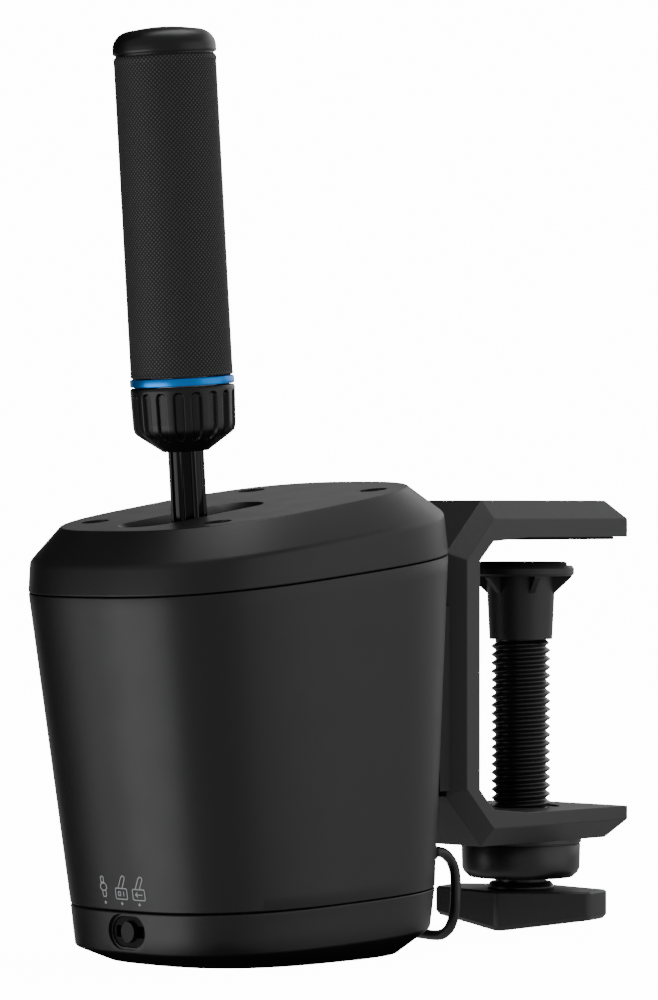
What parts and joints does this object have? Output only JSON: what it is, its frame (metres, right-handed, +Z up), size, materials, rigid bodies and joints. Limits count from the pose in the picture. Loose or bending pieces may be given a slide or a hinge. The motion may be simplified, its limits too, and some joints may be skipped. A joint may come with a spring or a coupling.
{
  "type": "simulator gear shifter",
  "caption": "Desk-clamped sequential shifter for a driving simulator, with an oval housing, leaning lever, round knurled grip and C-clamp with wing screw.",
  "frame": {"origin": "middle of the upper jaw's pad, on the clamp screw's axis", "axes": "+Z up, along the clamp screw; +X away from the driver, towards the desk; +Y to the driver's left"},
  "size_m": [0.2129, 0.1595, 0.2721],
  "materials": {
    "housing_black": "fine grain, matte",
    "cover_black": "fine grain, matte",
    "black_screw": "blackened steel, satin",
    "brass_insert": "turned",
    "chassis_steel": "bead blasted",
    "bronze_bush": "sintered",
    "rubber_black": "matte",
    "bright_steel": "plain",
    "board_green": "lacquered board",
    "switch_black": "matte",
    "clamp_black": "black powder coat, fine texture",
    "metal_black": "satin black",
    "rod_gloss_black": "glossy black",
    "bare_aluminium": "plain",
    "grip_black": "fine diamond texture",
    "cap_black": "black anodised, satin",
    "ring_blue": "blue anodised",
    "collar_black": "black anodised, satin",
    "foot_black": "moulded, satin",
    "handle_black": "soft matte",
    "cable_black": "flexible jacket",
    "plug_black": "overmould"
  },
  "bodies": {
    "root": {"main_housing": "housing_black", "top_cover": "cover_black", "base_cover": "cover_black", "cover_screws": "black_screw", "base_screws": "black_screw", "rig_inserts": "brass_insert", "pivot_frame": "chassis_steel", "axle_bushes": "bronze_bush", "stop_buffers": "rubber_black", "return_springs": "bright_steel", "spring_guides": "bright_steel", "angle_sensor": "board_green", "sensor_screws": "bright_steel", "main_board": "board_green", "board_screws": "bright_steel", "mode_switch": "switch_black", "mounting_plate": "clamp_black", "mounting_screws": "black_screw", "clamp_frame": "clamp_black", "jaw_pad": "rubber_black", "clamp_nut": "metal_black", "cable_relief": "rubber_black", "usb_cable": "cable_black", "cable_coil": "cable_black", "cable_tie": "switch_black", "plug_body": "plug_black", "plug_shell": "bright_steel"},
    "lever": {"lever_rod": "rod_gloss_black", "lever_hub": "chassis_steel", "hub_bolt": "black_screw", "pivot_axle": "bright_steel", "axle_clips": "black_screw", "sensor_magnet": "bright_steel", "slot_shield": "switch_black"},
    "grip": {"grip_core": "bare_aluminium", "grip_sleeve": "grip_black", "grip_cap": "cap_black", "accent_ring": "ring_blue", "collet": "bright_steel"},
    "collar": {"lock_collar": "collar_black"},
    "switch_knob": {"mode_knob": "switch_black"},
    "foot": {"foot_socket": "foot_black", "foot_pad": "rubber_black"},
    "spindle": {"clamp_screw": "metal_black", "handle_washer": "metal_black", "screw_handle": "handle_black", "handle_bolt": "black_screw"}
  },
  "joints": [
    {"name": "lever_swing", "type": "hinge", "parent": "root", "child": "lever", "pos_m": [-0.14109, 0, -0.0748], "axis": [0, 1, 0], "range_deg": [-11, 11], "stiffness_Nm_per_rad": 30, "deforming": ["return_springs"]},
    {"name": "grip_height", "type": "slide", "parent": "lever", "child": "grip", "axis": [-0.0755, 0, 0.9971], "range_m": [-0.01, 0.03]},
    {"name": "collar_turn", "type": "hinge", "parent": "grip", "child": "collar", "pos_m": [-0.14109, 0, -0.0748], "axis": [-0.0755, 0, 0.9971], "range_deg": [0, 180]},
    {"name": "mode_slide", "type": "slide", "parent": "root", "child": "switch_knob", "axis": [0, 1, 0], "range_m": [-0.0033, 0.0033]},
    {"name": "jaw_travel", "type": "slide", "parent": "root", "child": "foot", "axis": [0, 0, 1], "range_m": [-0.05, 0.0012]},
    {"name": "spindle_turn", "type": "hinge", "parent": "foot", "child": "spindle", "pos_m": [0, 0, 0], "axis": [0, 0, 1], "range_deg": [-6780, 160]}
  ],
  "couplings": [
    {"joint": "jaw_travel", "follows": "spindle_turn", "m_per_rad": 0.00042176}
  ]
}
